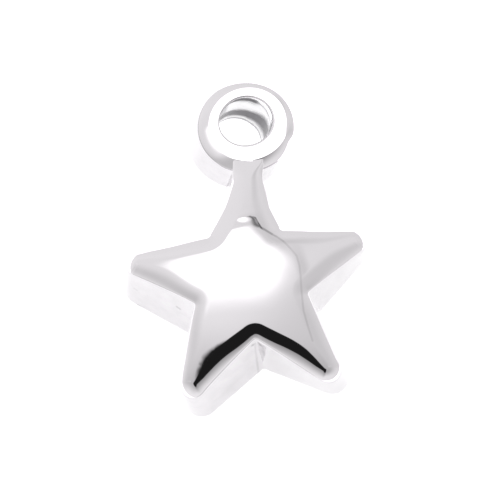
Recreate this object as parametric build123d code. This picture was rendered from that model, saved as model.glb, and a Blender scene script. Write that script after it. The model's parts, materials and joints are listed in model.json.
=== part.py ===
from build123d import *
import math
import os

# Star pendant cast in silver, in one piece: a chunky five-armed star with a domed face,
# whose top arm narrows to a neck and carries a thick round loop.
#
# Frame, in millimetres: the pendant lies on its flat back. Z runs out of the face, Y runs
# from the centre of the star towards the loop, and the origin is on the back plane, in the
# middle of the pendant's footprint.

# Star, measured on the back outline, where the walls are widest
ARM_COUNT = 5
NOTCH_RADIUS = 2.90
ARM_REACH = 5.36
ARM_TIP_RADIUS = 0.72
NOTCH_FILLET = 0.12
WALL_DRAFT_DEG = 3.8

# The casting is slightly wrung: the outline turns with its height above the back, and it
# stands straight at one height
WRING_DEG_PER_MM = 1.65
WRING_LEVEL = 2.40

# Domed face: a ball cuts the top of the star, its middle a little towards the loop
DOME_HEIGHT = 3.85
DOME_RADIUS = 11.0
DOME_MIDDLE_Y = 0.60
FRONT_EDGE_RADIUS = 0.40
BACK_EDGE_RADIUS = 0.22

# Neck: the top arm, with hollow flanks and a slight lean towards the right of the face
NECK_HALF_WIDTH = 0.69
NECK_DRAFT_DEG = 1.7
NECK_FLANK_HOLLOW = 0.10
NECK_LEAN_DEG = 3.2

# Loop: a short thick tube, turned a little about the neck. Its front face is nearly level
# again, and its front rim sits a little to the side of the bore, mostly towards the star
LOOP_OUTER_RADIUS = 2.12
LOOP_BORE_RADIUS = 1.07
LOOP_LENGTH = 2.60
LOOP_DRAFT_DEG = 2.6
LOOP_CENTRE_Y = 7.04
LOOP_CENTRE_X = 0.32
LOOP_TURN_DEG = 11.5
LOOP_FACE_TURN_DEG = -4.9
LOOP_FACE_FALL_DEG = 1.7
LOOP_FRONT_SHIFT_X = 0.10
LOOP_FRONT_SHIFT_Y = -0.23
LOOP_SPARE_LENGTH = 1.00
LOOP_FRONT_RIM_RADIUS = 0.50
LOOP_BACK_RIM_RADIUS = 0.22
LOOP_MOUTH_RADIUS = 0.08
LOOP_BACK_CLEARANCE = 0.03

# Cutters reach past the pendant, and points closer than this count as one place
CUTTER_LENGTH = 12.0
SAME_PLACE = 0.01

# Angle from the middle line of an arm to the notch beside it, in degrees
HALF_STEP = 180 / ARM_COUNT

# The neck ends in the middle of the loop's wall
NECK_END = LOOP_CENTRE_Y - (LOOP_OUTER_RADIUS + LOOP_BORE_RADIUS) / 2


def polar(radius, degrees):
    """Point on the back plane at this distance and angle from the star's centre."""
    angle = math.radians(degrees)
    return (radius * math.cos(angle), radius * math.sin(angle))


def arm_point(along, across, heading):
    """Point given along and across an arm whose middle line has this heading."""
    angle = math.radians(heading)
    x = along * math.cos(angle) - across * math.sin(angle)
    y = along * math.sin(angle) + across * math.cos(angle)
    return (x, y)


def flank_slope():
    """Angle between a plain arm's flank and its middle line."""
    notch_along, notch_across = polar(NOTCH_RADIUS, HALF_STEP)
    tip_centre = ARM_REACH - ARM_TIP_RADIUS
    gap = math.hypot(tip_centre - notch_along, notch_across)
    fall = math.atan2(notch_across, tip_centre - notch_along)
    return fall - math.asin(ARM_TIP_RADIUS / gap)


def notch_at(inset):
    """Distance from the star's centre to the notches where the flanks stand in this far."""
    square_to_flank = math.radians(90 - HALF_STEP) - flank_slope()
    return NOTCH_RADIUS - inset / math.cos(square_to_flank)


def inset_at(height):
    """How far the drafted walls stand in at this height above the back."""
    return height * math.tan(math.radians(WALL_DRAFT_DEG))


def plain_arm_edges(heading, inset):
    """Flank, round tip and flank of one arm, from notch to notch, anticlockwise."""
    tip_radius = ARM_TIP_RADIUS - inset
    tip_centre = ARM_REACH - ARM_TIP_RADIUS
    touch_along = tip_centre + tip_radius * math.sin(flank_slope())
    touch_across = tip_radius * math.cos(flank_slope())
    right_notch = polar(notch_at(inset), heading - HALF_STEP)
    left_notch = polar(notch_at(inset), heading + HALF_STEP)
    right_touch = arm_point(touch_along, -touch_across, heading)
    left_touch = arm_point(touch_along, touch_across, heading)
    tip = arm_point(tip_centre + tip_radius, 0, heading)
    right_flank = Line(right_notch, right_touch)
    round_tip = ThreePointArc(right_touch, tip, left_touch)
    left_flank = Line(left_touch, left_notch)
    return [right_flank, round_tip, left_flank]


def neck_edges(height):
    """Hollow flanks of the top arm, up to a straight end inside the loop's wall."""
    heading = 90 - NECK_LEAN_DEG
    inset = inset_at(height)
    half_width = NECK_HALF_WIDTH - height * math.tan(math.radians(NECK_DRAFT_DEG))
    right_notch = polar(notch_at(inset), 90 - HALF_STEP)
    left_notch = polar(notch_at(inset), 90 + HALF_STEP)
    right_end = arm_point(NECK_END, -half_width, heading)
    left_end = arm_point(NECK_END, half_width, heading)
    right_middle = hollow_middle(right_notch, right_end, heading, NECK_FLANK_HOLLOW)
    left_middle = hollow_middle(left_notch, left_end, heading, -NECK_FLANK_HOLLOW)
    right_flank = ThreePointArc(right_notch, right_middle, right_end)
    end = Line(right_end, left_end)
    left_flank = ThreePointArc(left_end, left_middle, left_notch)
    return [right_flank, end, left_flank]


def hollow_middle(start, end, heading, hollow):
    """Middle of a flank, moved across the neck by the depth of its hollow."""
    shift_x, shift_y = arm_point(0, hollow, heading)
    return ((start[0] + end[0]) / 2 + shift_x, (start[1] + end[1]) / 2 + shift_y)


def star_outline(height):
    """Outline of the star and neck at this height as one face, with the notches eased."""
    inset = inset_at(height)
    edges = neck_edges(height)
    for number in range(1, ARM_COUNT):
        edges += plain_arm_edges(90 + 2 * HALF_STEP * number, inset)
    face = make_face(Wire(edges))
    notches = [v for v in face.vertices() if is_notch(v, notch_at(inset))]
    turn = WRING_DEG_PER_MM * (WRING_LEVEL - height)
    return Pos(0, 0, height) * Rot(0, 0, turn) * fillet(notches, NOTCH_FILLET)


def is_notch(vertex, radius):
    """True for the corners between two arms."""
    return abs(math.hypot(vertex.X, vertex.Y) - radius) < SAME_PLACE


def star_body():
    """Star and neck: drafted and slightly wrung walls, domed face, eased edges."""
    walls = loft([star_outline(0), star_outline(DOME_HEIGHT)], ruled=True)
    ball = Pos(0, DOME_MIDDLE_Y, DOME_HEIGHT - DOME_RADIUS) * Sphere(DOME_RADIUS)
    body = walls & ball
    face = body.faces().sort_by(Axis.Z)[-1]
    body = fillet(face.outer_wire().edges(), FRONT_EDGE_RADIUS)
    back = body.faces().sort_by(Axis.Z)[0]
    return fillet(back.outer_wire().edges(), BACK_EDGE_RADIUS)


def loop_place():
    """Centre of the loop and its turn; its back edge stays just clear of the back plane."""
    turn = math.radians(LOOP_TURN_DEG)
    flat_radius = LOOP_OUTER_RADIUS - LOOP_BACK_RIM_RADIUS
    flat_half = LOOP_LENGTH / 2 - LOOP_BACK_RIM_RADIUS
    drop = flat_half * math.cos(turn) + flat_radius * math.sin(turn) + LOOP_BACK_RIM_RADIUS
    return Pos(LOOP_CENTRE_X, LOOP_CENTRE_Y, drop + LOOP_BACK_CLEARANCE) * Rot(0, LOOP_TURN_DEG, 0)


def loop_round():
    """Solid round of the loop before it is bored: a spare length cut off, and round rims."""
    place = loop_place()
    long_length = LOOP_LENGTH + LOOP_SPARE_LENGTH
    front_radius = LOOP_OUTER_RADIUS - long_length * math.tan(math.radians(LOOP_DRAFT_DEG))
    front_x = LOOP_FRONT_SHIFT_X * long_length / LOOP_LENGTH
    front_y = LOOP_FRONT_SHIFT_Y * long_length / LOOP_LENGTH
    back = place * Pos(0, 0, -LOOP_LENGTH / 2) * Circle(LOOP_OUTER_RADIUS)
    front = place * Pos(front_x, front_y, long_length - LOOP_LENGTH / 2) * Circle(front_radius)
    long_round = loft([back, front], ruled=True)
    face_middle = (place * Pos(0, 0, LOOP_LENGTH / 2)).position
    face = Pos(face_middle) * Rot(-LOOP_FACE_FALL_DEG, LOOP_FACE_TURN_DEG, 0)
    behind = Box(CUTTER_LENGTH, CUTTER_LENGTH, CUTTER_LENGTH)
    round_bar = long_round & (face * Pos(0, 0, -CUTTER_LENGTH / 2) * behind)
    rims = round_bar.edges().filter_by(is_round).sort_by(Axis.Z)
    round_bar = fillet(rims[-1], LOOP_FRONT_RIM_RADIUS)
    rims = round_bar.edges().filter_by(is_round).sort_by(Axis.Z)
    return fillet(rims[0], LOOP_BACK_RIM_RADIUS)


def is_round(edge):
    """True for edges that run round the loop, unlike the seams along it."""
    return edge.geom_type != GeomType.LINE


def pendant():
    """Star, neck and loop joined, and the loop bored through."""
    place = loop_place()
    seat = Cylinder(LOOP_OUTER_RADIUS - LOOP_BACK_RIM_RADIUS, CUTTER_LENGTH)
    joined = (star_body() - place * seat) + loop_round()
    bore = Cylinder(LOOP_BORE_RADIUS, CUTTER_LENGTH)
    bored = joined - place * bore
    mouths = bored.edges().filter_by(is_mouth)
    eased = fillet(mouths, LOOP_MOUTH_RADIUS)
    box = eased.bounding_box()
    return Pos(-box.center().X, -box.center().Y, -box.min.Z) * eased


def is_mouth(edge):
    """True for the two edges where the bore meets the loop's faces."""
    middle = (loop_place().inverse() * Pos(edge @ 0.5)).position
    away = math.hypot(middle.X, middle.Y)
    return is_round(edge) and away < LOOP_BORE_RADIUS + SAME_PLACE


os.makedirs("parts", exist_ok=True)
export_step(pendant(), "parts/star_pendant.step")
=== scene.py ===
import json
import logging
import math
from dataclasses import dataclass
from enum import Enum
from typing import ClassVar

import bpy
import numpy as np
from mathutils import Matrix, Vector
from mathutils.geometry import delaunay_2d_cdt


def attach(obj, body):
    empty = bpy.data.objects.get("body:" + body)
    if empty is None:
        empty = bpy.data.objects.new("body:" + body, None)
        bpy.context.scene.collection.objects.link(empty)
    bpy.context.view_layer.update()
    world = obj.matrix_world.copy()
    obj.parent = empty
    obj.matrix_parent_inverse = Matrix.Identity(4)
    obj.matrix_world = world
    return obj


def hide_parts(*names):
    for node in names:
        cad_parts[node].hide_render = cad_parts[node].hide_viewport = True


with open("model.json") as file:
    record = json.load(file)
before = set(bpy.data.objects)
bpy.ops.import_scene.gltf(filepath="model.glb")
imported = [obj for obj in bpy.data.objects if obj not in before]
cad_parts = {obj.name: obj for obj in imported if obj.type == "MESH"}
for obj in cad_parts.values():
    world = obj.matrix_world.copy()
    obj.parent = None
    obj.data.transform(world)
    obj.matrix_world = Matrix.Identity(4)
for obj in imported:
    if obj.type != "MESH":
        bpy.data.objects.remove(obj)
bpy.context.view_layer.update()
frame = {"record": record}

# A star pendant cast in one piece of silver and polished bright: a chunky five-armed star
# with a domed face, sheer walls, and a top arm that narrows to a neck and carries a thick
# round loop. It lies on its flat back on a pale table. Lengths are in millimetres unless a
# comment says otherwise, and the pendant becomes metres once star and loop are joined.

logging.basicConfig(level=logging.INFO, format="%(message)s")
log = logging.getLogger("pendant")

MM = 0.001
NODE = "star_pendant"
BLACK = (0.0, 0.0, 0.0, 1.0)
WHITE = (1.0, 1.0, 1.0, 1.0)

# Faces that meet at more degrees than this keep a sharp edge between them
SHARP_ANGLE = 40.0

# Keeps roots and divisions clear of zero
TINY = 1e-6

# Plan points nearer to each other than this count as one
SAME_PLACE = 1e-7

# Rows of an even triangle grid stand this share of its step apart
ROW_SPACING = 0.866

# A stretch is points along a line and their outward normals. A term is a socket, or a fixed
# value that stands in its place
Stretch = tuple[np.ndarray, np.ndarray]
Socket = bpy.types.NodeSocket
Term = bpy.types.NodeSocket | float | tuple[float, ...]


class Skin(Enum):
    """Which finish a stretch of the casting has."""

    FACE = 0
    BACK = 1
    BORE = 2
    WALL = 3


def unit(angle: float) -> np.ndarray:
    """Unit vector at this angle in degrees, anticlockwise from X."""
    turn = math.radians(angle)
    return np.array([math.cos(turn), math.sin(turn)])


def unit_of(vector: np.ndarray) -> np.ndarray:
    """The vector, or each row of vectors, at length one."""
    return vector / np.linalg.norm(vector, axis=-1, keepdims=True)


def left_of(direction: np.ndarray) -> np.ndarray:
    """The direction turned a quarter anticlockwise."""
    return np.stack([-direction[..., 1], direction[..., 0]], axis=-1)


def smooth_step(share: np.ndarray) -> np.ndarray:
    """Smooth step from 0 to 1 over shares from 0 to 1: three squares less two cubes."""
    share = np.clip(share, 0, 1)
    return share * share * (3 - 2 * share)


def spaced(start: np.ndarray, end: np.ndarray, count: int) -> np.ndarray:
    """Evenly spaced points from start towards end, the end itself left out."""
    share = np.arange(count)[:, None] / count
    return start * (1 - share) + end * share


def arc(centre: np.ndarray, radius: float, begin: float, sweep: float, count: int) -> Stretch:
    """Points of a circular arc: its centre plus the radius times each unit vector.

    Args:
        centre: Middle of the circle.
        radius: Radius of the circle.
        begin: Angle of the first point in radians.
        sweep: Angle that the arc covers, negative for clockwise.
        count: Number of points; the last one of the arc is left out.

    Returns:
        The points, and the unit vectors from the centre to them, one row each.
    """
    angle = begin + sweep * np.arange(count) / count
    spoke = np.stack([np.cos(angle), np.sin(angle)], axis=1)
    return centre + radius * spoke, spoke


def slanted_grid(low: np.ndarray, high: np.ndarray, step: float) -> np.ndarray:
    """Plan points of an even triangle grid, with every second row half a step aside.

    Args:
        low: Lower left corner of the box that the grid fills.
        high: Upper right corner of the box.
        step: Distance between neighbours in a row.

    Returns:
        One row for each point.
    """
    rows = np.arange(low[1], high[1], step * ROW_SPACING)
    y, x = np.meshgrid(rows, np.arange(low[0], high[0], step), indexing="ij")
    x = x + step / 2 * (np.arange(len(x)) % 2)[:, None]
    return np.stack([x.ravel(), y.ravel()], axis=1)


def inside_rim(points: np.ndarray, rim: np.ndarray) -> np.ndarray:
    """Which plan points lie inside a closed rim.

    From a point inside, a line straight to the right cuts the rim an odd number of times.

    Args:
        points: Plan points to sort.
        rim: Corners of the rim in order.

    Returns:
        True or false for each point.
    """
    after = np.roll(rim, -1, axis=0)
    crosses = (rim[:, 1] > points[:, None, 1]) != (after[:, 1] > points[:, None, 1])
    rise = np.where(after[:, 1] == rim[:, 1], TINY, after[:, 1] - rim[:, 1])
    cut = rim[:, 0] + (points[:, None, 1] - rim[:, 1]) / rise * (after[:, 0] - rim[:, 0])
    return (crosses & (points[:, None, 0] < cut)).sum(axis=1) % 2 == 1


def band_faces(rows: int, columns: int, wrap_rows: bool) -> np.ndarray:
    """Corner numbers of the quads between rings, each ring closed on itself.

    Args:
        rows: Number of rings.
        columns: Points in a ring.
        wrap_rows: True where the last ring joins the first.

    Returns:
        An array of quads by four corners.
    """
    bands = rows if wrap_rows else rows - 1
    row, column = np.meshgrid(np.arange(bands), np.arange(columns), indexing="ij")
    after = (column + 1) % columns
    here, above = row * columns, (row + 1) % rows * columns
    corners = [here + column, here + after, above + after, above + column]
    return np.stack(corners, axis=-1).reshape(-1, 4)


def filled(rim: np.ndarray, inner: np.ndarray) -> np.ndarray:
    """Triangles over the inside of a closed plan rim, through the inner points.

    Args:
        rim: Corners of the rim, anticlockwise.
        inner: Points inside it.

    Returns:
        Rows of three numbers, which count the rim first and then the inner points.
    """
    flat = [Vector(point) for point in np.concatenate([rim, inner])]
    points, _, faces, _, _, _ = delaunay_2d_cdt(flat, [], [list(range(len(rim)))], 1, SAME_PLACE)
    if len(points) != len(flat):
        log.warning("fill: %d points became %d", len(flat), len(points))
    return np.array(faces)


def mesh_object(
    name: str, points: np.ndarray, faces: list[np.ndarray], skins: np.ndarray
) -> bpy.types.Object:
    """Object with a mesh from arrays of points and faces.

    Args:
        name: Name of the object and mesh.
        points: Corners, in the unit that the caller works in.
        faces: Arrays of faces, each array with its own number of corners.
        skins: Material number of each face.

    Returns:
        The linked object.
    """
    counts = np.concatenate([np.full(len(group), group.shape[1]) for group in faces])
    corners = np.concatenate([group.ravel() for group in faces])
    starts = np.concatenate([[0], np.cumsum(counts)[:-1]])
    mesh = bpy.data.meshes.new(name)
    mesh.vertices.add(len(points))
    mesh.vertices.foreach_set("co", points.astype(np.float32).ravel())
    mesh.loops.add(len(corners))
    mesh.loops.foreach_set("vertex_index", corners.astype(np.int32))
    mesh.polygons.add(len(counts))
    mesh.polygons.foreach_set("loop_start", starts.astype(np.int32))
    mesh.polygons.foreach_set("material_index", skins.astype(np.int32))
    mesh.update(calc_edges=True)
    mesh.validate()
    piece = bpy.data.objects.new(name, mesh)
    bpy.context.scene.collection.objects.link(piece)
    return piece


@dataclass(frozen=True)
class Crown:
    """How a front edge turns from the level face into the upright wall.

    Each bend gives a slope in degrees and the radius of the curve where it has that slope.
    """

    bends: tuple[tuple[float, float], ...]
    steps: int = 720

    def profile(self, rows: int) -> tuple[np.ndarray, np.ndarray]:
        """The curve from the wall to the face.

        The slope falls from upright to level, and the radius runs straight between the bends.
        Each step moves in by radius times the cosine of the slope and up by radius times its
        sine.

        Args:
            rows: Number of points, denser where the curve is tight.

        Returns:
            How far inside the wall and how far under the face each point lies.
        """
        slope = np.linspace(math.pi / 2, 0, self.steps)
        slopes, radii = np.array(self.bends).T
        radius = np.interp(np.degrees(slope), slopes, radii)
        step = (math.pi / 2) / (self.steps - 1)
        inside = np.concatenate([[0], np.cumsum((radius * np.cos(slope))[:-1] * step)])
        climb = np.concatenate([[0], np.cumsum((radius * np.sin(slope))[:-1] * step)])
        pick = np.linspace(0, 1, rows)
        length = np.cumsum(np.sqrt(radius))
        length = (length - length[0]) / (length[-1] - length[0])
        return np.interp(pick, length, inside), np.interp(pick, length, climb[-1] - climb)


@dataclass(frozen=True)
class Neck:
    """The top arm: hollow flanks and a slight lean towards the right of the face.

    Its draft is a share of the inset of the star's walls. It ends in a bow, which spans twice
    end_bow degrees, inside the loop's wall.
    """

    half_width: float = 0.50
    draft_share: float = 0.45
    flank_hollow: float = 0.13
    lean: float = 4.95
    end_along: float = 5.42
    end_bow: float = 60.0
    flare: float = 0.20
    flare_start: float = 4.35

    def flank(self, notch: np.ndarray, inset: float, side: int, count: int) -> Stretch:
        """One flank as a parabola through the notch, the hollow middle and the end.

        Past the start of the flare it also moves outwards, by the flare times a smooth step.

        Args:
            notch: Corner of the star where the flank starts.
            inset: How far the flank stands in from the back outline.
            side: 1 for the left flank, -1 for the right one.
            count: Number of points, the end left out.

        Returns:
            Points from the notch to the end, and their outward normals.
        """
        along = unit(90 - self.lean)
        across = left_of(along) * side
        half_width = self.half_width - inset * self.draft_share
        end = along * self.end_along + across * half_width
        middle = (notch + end) / 2 - across * self.flank_hollow
        share = np.arange(count)[:, None] / count
        points = (
            notch * (1 - share) * (1 - 2 * share)
            + middle * 4 * share * (1 - share)
            + end * share * (2 * share - 1)
        )
        slope = notch * (4 * share - 3) + middle * (4 - 8 * share) + end * (4 * share - 1)
        past = (points @ along - self.flare_start) / (self.end_along - self.flare_start)
        points = points + across * (self.flare * smooth_step(past))[:, None]
        return points, left_of(unit_of(slope)) * side

    def bow(self, inset: float, count: int) -> tuple[Stretch, np.ndarray]:
        """The round end of the neck, from its right flank to its left one.

        Its radius is the half width with the flare, over the sine of half its span.

        Args:
            inset: How far the walls stand in from the back outline.
            count: Number of points; the last one of the arc is left out.

        Returns:
            The bow with its outward normals, and the corner where the left flank ends.
        """
        half_span = math.radians(self.end_bow)
        heading = 90 - self.lean
        half_width = self.half_width + self.flare - inset * self.draft_share
        radius = half_width / math.sin(half_span)
        centre = unit(heading) * (self.end_along - radius * math.cos(half_span))
        end = arc(centre, radius, math.radians(heading) - half_span, 2 * half_span, count)
        return end, centre + radius * unit(heading + self.end_bow)


@dataclass(frozen=True)
class Swell:
    """A faint swell across the root of the neck, left by hand polishing."""

    middle: tuple[float, float] = (0.0, 2.70)
    spread: tuple[float, float] = (0.50, 0.20)
    rise: float = 0.0125

    def height(self, x: np.ndarray, y: np.ndarray) -> np.ndarray:
        """Height of the swell, which falls off on all sides like a bell curve.

        Args:
            x: Places across the star.
            y: Places along it, towards the loop.

        Returns:
            How far the swell lifts the face at these places.
        """
        across = (x - self.middle[0]) / self.spread[0]
        along = (y - self.middle[1]) / self.spread[1]
        return self.rise * np.exp(-across ** 2 - along ** 2)


@dataclass
class StarBody:
    """Star and neck: drafted and slightly wrung walls, crowned front edges and a domed face.

    Plan places count from the star's centre, and the inset of an outline is how far it stands
    in from the back outline.
    """

    centre: tuple[float, float]

    # Back outline
    arm_count: int = 5
    notch_radius: float = 2.90
    arm_reach: float = 5.36
    tip_radius: float = 0.72
    notch_fillet: float = 0.12
    neck: Neck = Neck()

    # Walls: their draft in degrees, how much more the notches below the centre lean in, and
    # the radius of the back edge
    draft: float = 3.8
    low_notch_lean: float = 0.70
    back_edge: float = 0.22

    # Wringing: degrees for each millimetre of height, the height at which the outline stands
    # straight, and the share of the turn that is left above it
    twist: float = 1.65
    twist_level: float = 2.4
    top_twist_share: float = 0.4

    # Domed face, and the straight ramp that carries it up the neck: where the ramp leaves the
    # ball, the angles beside the neck over which it fades, and its roll at the neck's end
    dome_height: float = 3.85
    dome_radius: float = 11.0
    dome_middle: float = 0.60
    ramp_start: float = 2.72
    ramp_edges: tuple[float, float] = (16.0, 33.0)
    end_roll: float = 0.08
    swell: Swell = Swell()

    # Front edge: its bend along the arms and in the three low notches, the distances from a
    # notch over which one goes into the other, and the inset where those notches are measured
    crown: Crown = Crown(((0, 1.25), (34.5, 1.25), (41.5, 0.16), (90, 0.16)))
    notch_crown: Crown = Crown(((0, 1.25), (23.5, 1.25), (30.5, 0.16), (90, 0.16)))
    notch_crown_reach: tuple[float, float] = (0.0, 3.0)
    rim_inset: float = 0.2

    # Its size where room is short: a share of the room, evened out over some neighbours and
    # never past the limit. Points that lie this flat along the rim don't count as near
    crown_share: float = 0.82
    crown_limit: float = 0.98
    crown_evening: int = 11
    least_turn: float = 0.07

    # How much tighter it gets where the neck runs into the loop, from where and over how far
    end_tightness: float = 0.75
    end_from: float = 4.55
    end_over: float = 0.60

    # Points along the outline
    flank_points: int = 34
    tip_points: int = 40
    notch_points: int = 9
    neck_points: int = 60
    end_points: int = 24

    # Rings of the back edge, walls and crown, the crown's rings that have the walls' finish,
    # and the passes that settle the crown
    back_rows: int = 8
    wall_rows: int = 14
    crown_rows: int = 36
    crown_wall_rows: int = 12
    crown_passes: int = 8

    # Small changes from which slopes are measured, in inset and in place
    probe_inset: float = 0.3
    probe_step: float = 0.01

    # Grid of the face: half its side, its step, and its least distance from the rim as a share
    # of the step. Round the swell, as far as so many spreads, it is finer
    face_reach: float = 9.0
    face_step: float = 0.13
    coarse_gap: float = 0.45
    swell_reach: tuple[float, float] = (2.0, 3.0)
    swell_fineness: int = 4
    fine_gap: float = 0.60

    @property
    def half_step(self) -> float:
        """Angle between an arm's middle line and the notch beside it, in degrees."""
        return 180 / self.arm_count

    @property
    def tip_centre(self) -> float:
        """Distance from the star's centre to the centre of an arm's round tip."""
        return self.arm_reach - self.tip_radius

    @property
    def flank_slope(self) -> float:
        """Angle between a plain arm's flank and its middle line.

        A line from the notch to the middle of the round tip falls towards the middle line. The
        flank falls less, by the angle whose sine is the tip's radius over that line's length.

        Returns:
            The angle in radians.
        """
        along, across = self.notch_radius * unit(self.half_step)
        fall = math.atan2(across, self.tip_centre - along)
        gap = math.hypot(self.tip_centre - along, across)
        return fall - math.asin(self.tip_radius / gap)

    @property
    def slant(self) -> float:
        """How far the walls stand in for each millimetre of height."""
        return math.tan(math.radians(self.draft))

    def notch(self, inset: float, angle: float) -> np.ndarray:
        """The sharp corner between two arms.

        It moves in by the inset over the cosine of the angle between the flank's normal and
        the corner's own direction. The corners below the centre lean further in.

        Args:
            inset: How far the flanks stand in.
            angle: Direction from the centre to the corner, in degrees.

        Returns:
            The plan point of the corner.
        """
        square = math.radians(90 - self.half_step) - self.flank_slope
        lean = self.low_notch_lean if math.sin(math.radians(angle)) < 0 else 0.0
        return (self.notch_radius - inset * (1 + lean) / math.cos(square)) * unit(angle)

    def eased_notch(self, corner: np.ndarray, before: np.ndarray, after: np.ndarray) -> Stretch:
        """Arc that eases the corner between two arms.

        Its centre lies outside the star, one radius off both flanks.

        Args:
            corner: The sharp corner.
            before: Direction in which the outline comes to the corner.
            after: Direction in which it leaves.

        Returns:
            Points of the arc and their outward normals, which point at its centre.
        """
        turn = math.acos(float(np.clip(before @ after, -1, 1)))
        trim = self.notch_fillet * math.tan(turn / 2)
        start = corner - before * trim
        centre = start - left_of(before) * self.notch_fillet
        begin = math.atan2(*(start - centre)[::-1])
        points, spoke = arc(centre, self.notch_fillet, begin, -turn, self.notch_points)
        return points, -spoke

    def plain_arm(self, heading: float, inset: float) -> list[Stretch]:
        """Flank, round tip and flank of one arm, anticlockwise, trimmed for the eased notches.

        The flanks are straight, and the tip is an arc that touches both.

        Args:
            heading: Direction of the arm's middle line in degrees.
            inset: How far the outline stands in.

        Returns:
            Three stretches of points with their outward normals.
        """
        slope = math.degrees(self.flank_slope)
        step = 2 * self.half_step
        radius = self.tip_radius - inset
        centre = self.tip_centre * unit(heading)
        right_normal = unit(heading - 90 + slope)
        left_normal = unit(heading + 90 - slope)
        right_corner = self.notch(inset, heading - self.half_step)
        left_corner = self.notch(inset, heading + self.half_step)
        start = self.trimmed(right_corner, left_of(right_normal), heading - step)
        end = self.trimmed(left_corner, -left_of(left_normal), heading + step)
        begin = math.radians(heading - 90 + slope)
        tip, spoke = arc(centre, radius, begin, math.radians(180 - 2 * slope), self.tip_points)
        right = spaced(start, centre + radius * right_normal, self.flank_points)
        left = spaced(centre + radius * left_normal, end, self.flank_points)
        return [
            (right, np.broadcast_to(right_normal, right.shape)),
            (tip, spoke),
            (left, np.broadcast_to(left_normal, left.shape)),
        ]

    def trimmed(self, corner: np.ndarray, away: np.ndarray, other_heading: float) -> np.ndarray:
        """The corner moved along its flank to where the eased notch begins.

        It moves by the fillet's radius times the tangent of half the turn.

        Args:
            corner: The sharp corner.
            away: Direction of this arm's flank away from the corner.
            other_heading: Heading of the arm across the notch.

        Returns:
            The point where the flank and the eased notch meet.
        """
        other = self.flank_direction(corner, other_heading)
        turn = math.pi - math.acos(float(np.clip(away @ other, -1, 1)))
        return corner + away * self.notch_fillet * math.tan(turn / 2)

    def flank_direction(self, corner: np.ndarray, heading: float) -> np.ndarray:
        """Direction in which an arm's flank leaves a corner.

        Args:
            corner: The sharp corner.
            heading: Direction of the arm's middle line in degrees.

        Returns:
            A unit vector in plan.
        """
        side = math.copysign(1, float(corner @ left_of(unit(heading))))
        if self.is_neck(heading):
            _, normals = self.neck.flank(corner, 0.0, int(side), 2)
            return -left_of(normals[0]) * side
        return unit(heading - side * math.degrees(self.flank_slope))

    @staticmethod
    def is_neck(heading: float) -> bool:
        """True for the heading of the top arm."""
        return abs((heading - 90) % 360) < 1

    def neck_stretches(self, inset: float) -> list[Stretch]:
        """Right flank, end and left flank of the neck, anticlockwise.

        Args:
            inset: How far the outline stands in.

        Returns:
            Three stretches of points with their outward normals.
        """
        flanks = []
        for side in (-1, 1):
            corner = self.notch(inset, 90 + side * self.half_step)
            away = self.flank_direction(corner, 90)
            start = self.trimmed(corner, away, 90 + side * 2 * self.half_step)
            flanks.append(self.neck.flank(start, inset, side, self.neck_points))
        right, (left, left_normals) = flanks
        end, left_corner = self.neck.bow(inset, self.end_points)
        down = np.concatenate([left[1:], left_corner[None]])[::-1]
        down_normals = np.concatenate([left_normals[1:], left_normals[-1:]])[::-1]
        return [right, end, (down, down_normals)]

    def outline(self, inset: float) -> Stretch:
        """Plan outline of the star and neck, anticlockwise.

        Each flank moves straight in by the inset, the notches keep their rounding and the
        tips keep their centres, so every point moves in a straight line as the inset grows.

        Args:
            inset: How far the outline stands in.

        Returns:
            Points and outward normals, one row each.
        """
        step = 2 * self.half_step
        stretches = self.neck_stretches(inset)
        for number in range(self.arm_count):
            heading = 90 + step * number
            if number:
                stretches += self.plain_arm(heading, inset)
            corner = self.notch(inset, heading + self.half_step)
            before = -self.flank_direction(corner, heading)
            after = self.flank_direction(corner, heading + step)
            stretches.append(self.eased_notch(corner, before, after))
        points, normals = zip(*stretches)
        return np.concatenate(points), np.concatenate(normals)

    def face_height(self, x: np.ndarray, y: np.ndarray) -> np.ndarray:
        """Height of the domed face: a ball, and a straight ramp on the neck.

        The ramp leaves the ball at the ramp's start and keeps its slope there. Towards the loop
        it rolls up to the right, as the loop's face does. Between the two edge angles beside the
        neck the height goes smoothly from the ramp to the ball. The swell lies on top.

        Args:
            x: Places across the star.
            y: Places along it, towards the loop.

        Returns:
            Heights above the back plane.
        """
        lean = math.radians(self.neck.lean)
        away = np.sqrt(x ** 2 + (y - self.dome_middle) ** 2)
        ball_middle = self.dome_height - self.dome_radius
        ball = ball_middle + np.sqrt(np.maximum(self.dome_radius ** 2 - away ** 2, TINY))
        drop = math.sqrt(self.dome_radius ** 2 - self.ramp_start ** 2)
        past = away - self.ramp_start
        ramp = ball_middle + drop - past * self.ramp_start / drop
        aside = np.abs(np.degrees(np.arctan2(x, y)) - self.neck.lean)
        near, far = self.ramp_edges
        share = smooth_step((far - aside) / (far - near))
        across = x * math.cos(lean) - y * math.sin(lean)
        way = past / (self.neck.end_along - self.dome_middle - self.ramp_start)
        roll = self.end_roll * across * smooth_step(way)
        raised = np.where(past > 0, (ramp - ball + roll) * share, 0)
        return ball + raised + self.swell.height(x, y)

    def face_tilt(self, x: np.ndarray, y: np.ndarray) -> np.ndarray:
        """Length of the face's upward normal per unit of height.

        It is the root of one plus the squares of the two slopes, from central differences.

        Args:
            x: Places across the star.
            y: Places along it, towards the loop.

        Returns:
            One length for each place, 1 where the face is level.
        """
        step = self.probe_step
        slope_x = (self.face_height(x + step, y) - self.face_height(x - step, y)) / (2 * step)
        slope_y = (self.face_height(x, y + step) - self.face_height(x, y - step)) / (2 * step)
        return np.sqrt(1 + slope_x ** 2 + slope_y ** 2)

    @staticmethod
    def ring_normals(ring: np.ndarray) -> np.ndarray:
        """Outward normals of a closed plan ring that runs anticlockwise."""
        return -left_of(unit_of(np.roll(ring, -1, axis=0) - np.roll(ring, 1, axis=0)))

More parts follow.
